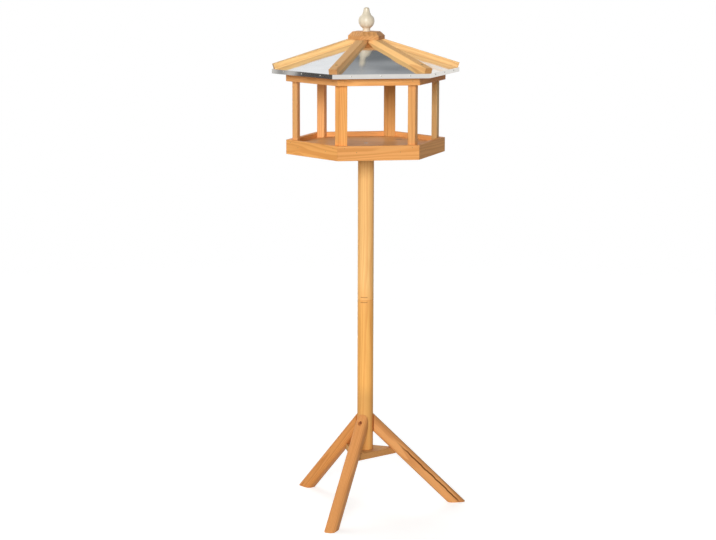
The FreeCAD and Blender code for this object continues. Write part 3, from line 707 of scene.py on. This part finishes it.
for number, (early, late) in enumerate(RAFTERS, start=1):
    out = corner_out(number)
    down = out * math.cos(RAFTER_SLOPE) - UP * math.sin(RAFTER_SLOPE)
    lacquered_pine(
        f"rafter_{number}", down, out.cross(UP), early, late, seed=100 + number, knots=0.25, pith=0.04,
        ring=0.0034)

yellow_zinc = zinc_plate("yellow_zinc", colour=(206, 168, 104), roughness=0.4)
cross_headed("rafter_screws", yellow_zinc, rafter_screw_faces)


# Apex hub, cap and finial
# The hub is a hidden block under the peak. The cap is a hexagon of pine with a bevelled top, and
# the finial is a turned knob with smooth cream paint, glued on a dowel.

CAP_GRAIN = 10
PAINT_MOTTLE = (60.0, 60.0, 60.0)
BRUSH_MARKS = (40.0, 40.0, 900.0)
CREAM_LIGHT = (244, 232, 208)
CREAM_DARK = (222, 208, 182)

hub_pine = lacquered_pine(
    "apex_hub", outward(0), UP, early=(226, 176, 118), late=(192, 132, 78), seed=111)
hub_pine.dress("finial_dowel")
lacquered_pine(
    "cap", outward(CAP_GRAIN), UP, early=(230, 171, 110), late=(190, 126, 70), seed=112, knots=0.3,
    ring=0.0036)

cream = Finish("cream_paint")
coords = cream.metres()
mottle = cream.noise(cream.scaled(coords, PAINT_MOTTLE), 3.0)
brushed = cream.noise(cream.scaled(coords, BRUSH_MARKS))
paint = cream.mix(mottle, linear(CREAM_LIGHT), linear(CREAM_DARK))
lift = cream.node("Bump", Strength=0.2, Distance=0.0002, Height=brushed)
cream.set(Base_Color=paint, Roughness=0.38, Normal=lift, Coat_Weight=0.25, Coat_Roughness=0.2)
cream.dress("finial")


# Studio
# A plain pale floor that fades out into a white surround. A large soft lamp stands low beside the
# camera, with weaker ones at the left and behind the object. The bright roof mirrors a surround
# that is white near the horizon, grey higher up and dark at the left.

FLOOR_RADIUS = 9.0
FLOOR_SEGMENTS = 96
FLOOR_FADE = (1.2, 4.5)
FLOOR_GREY = (214, 214, 214)
FLOOR_LIFT = 0.65
AMBIENT_LEVEL = 0.03
AMBIENT_TOP = 0.26
WHITE = (1.0, 1.0, 1.0, 1.0)
AMBIENT_TINT = (1.0, 0.97, 0.91, 1.0)

# What the roof mirrors, as scene-linear colours. Each band's colour comes in between two heights of
# a direction, where 0 is level and 1 is straight up, and stays above them.
HORIZON = (1.0, 0.95, 0.88, 1.0)
SKY_BANDS = [
    (0.0, 0.4, WHITE),
    (0.48, 0.72, (0.20, 0.212, 0.22, 1.0)),
    (0.76, 1.0, (0.44, 0.46, 0.475, 1.0))]
DARK_PATCH = (0.09, 0.08, 0.075, 1.0)
DARK_PATCH_TURN = -174.5
DARK_PATCH_EDGE = (0.9895, 0.9945)

disc = bmesh.new()
bmesh.ops.create_circle(disc, cap_ends=True, radius=FLOOR_RADIUS, segments=FLOOR_SEGMENTS)
floor = mesh_piece("floor", disc)
ground = Finish("floor_paper")
ray = ground.add("LightPath").outputs
plain_view = ground.math("MAXIMUM", ray["Is Camera Ray"], ray["Is Glossy Ray"])
plain_view = ground.math("MAXIMUM", plain_view, ray["Is Transmission Ray"])
ground.set(
    Base_Color=linear(FLOOR_GREY), Roughness=1.0, Specular_IOR_Level=0.0, Emission_Color=WHITE,
    Emission_Strength=ground.math("MULTIPLY", plain_view, FLOOR_LIFT))
share = ground.rise(ground.size(ground.metres()), *FLOOR_FADE)
clear = ground.node("BsdfTransparent")
fading = ground.node("MixShader", i0=share, i1=ground.shader.outputs[0], i2=clear)
ground.put(ground.tree.nodes["Material Output"].inputs[0], fading)
floor.data.materials.append(ground.material)


def add_sun(name, turn, height, strength, softness, mirrored=True):
    """A distant soft lamp at a compass turn and a height above the horizon, in degrees."""
    lamp = bpy.data.lights.new(name, "SUN")
    lamp.energy = strength
    lamp.angle = math.radians(softness)
    holder = bpy.data.objects.new(name, lamp)
    rise = math.radians(height)
    source = outward(turn) * math.cos(rise) + UP * math.sin(rise)
    holder.rotation_euler = source.to_track_quat("Z", "Y").to_euler()
    holder.visible_glossy = mirrored
    bpy.context.scene.collection.objects.link(holder)


add_sun("key_lamp", turn=-76, height=13, strength=2.52, softness=22)
add_sun("side_lamp", turn=-150, height=15, strength=0.42, softness=40)
add_sun("back_lamp", turn=140, height=32, strength=1.3, softness=40, mirrored=False)

world = bpy.data.worlds.new("surround")
bpy.context.scene.world = world
world.use_nodes = True
world.node_tree.nodes.clear()
sky = Wiring(world.node_tree)
ray = sky.add("LightPath").outputs
direction = sky.node("TexCoord")
height = sky.dot(direction, UP)
mirrored = HORIZON
for low, high, colour in SKY_BANDS:
    mirrored = sky.mix(sky.rise(height, low, high), mirrored, colour)
dark = sky.rise(sky.dot(direction, outward(DARK_PATCH_TURN)), *DARK_PATCH_EDGE)
mirrored = sky.mix(dark, mirrored, DARK_PATCH)
above = sky.spread(height, 0.0, 1.0, AMBIENT_LEVEL, AMBIENT_TOP)
soft = sky.node("Background", Color=AMBIENT_TINT, Strength=above)
white = sky.node("Background", Color=WHITE, Strength=1.0)
seen = sky.node("Background", Color=mirrored, Strength=1.0)
bounced = sky.math("MAXIMUM", ray["Is Glossy Ray"], ray["Is Transmission Ray"])
surround = sky.node("MixShader", i0=bounced, i1=soft, i2=seen)
surround = sky.node("MixShader", i0=ray["Is Camera Ray"], i1=surround, i2=white)
sky.add("OutputWorld", i0=surround)


# Camera
# It stands 5.75 m from the pole, 1.67 m above the ground and 20 degrees to the right of the front
# leg, and looks a little down.

CAMERA_TURN = -70
CAMERA_REACH = 5.746
CAMERA_HEIGHT = 1.667
CAMERA_DIP = 9.84
CAMERA_ROLL = -0.15
CAMERA_HEADING = 20.24
PICTURE_WIDTH = 716
FOCAL_PIXELS = 2074.6
SHIFT_PIXELS = 4.6
SENSOR_WIDTH = 36.0

lens = bpy.data.cameras.new("camera")
lens.sensor_width = SENSOR_WIDTH
lens.lens = FOCAL_PIXELS / PICTURE_WIDTH * SENSOR_WIDTH
lens.shift_y = SHIFT_PIXELS / PICTURE_WIDTH
camera = bpy.data.objects.new("camera", lens)
camera.location = POLE_AXIS + outward(CAMERA_TURN) * CAMERA_REACH + UP * CAMERA_HEIGHT
turns = (90 - CAMERA_DIP, CAMERA_ROLL, CAMERA_HEADING)
camera.rotation_euler = Euler([math.radians(turn) for turn in turns], "XYZ")
bpy.context.scene.collection.objects.link(camera)
bpy.context.scene.camera = camera

bpy.context.scene.view_settings.view_transform = "Standard"
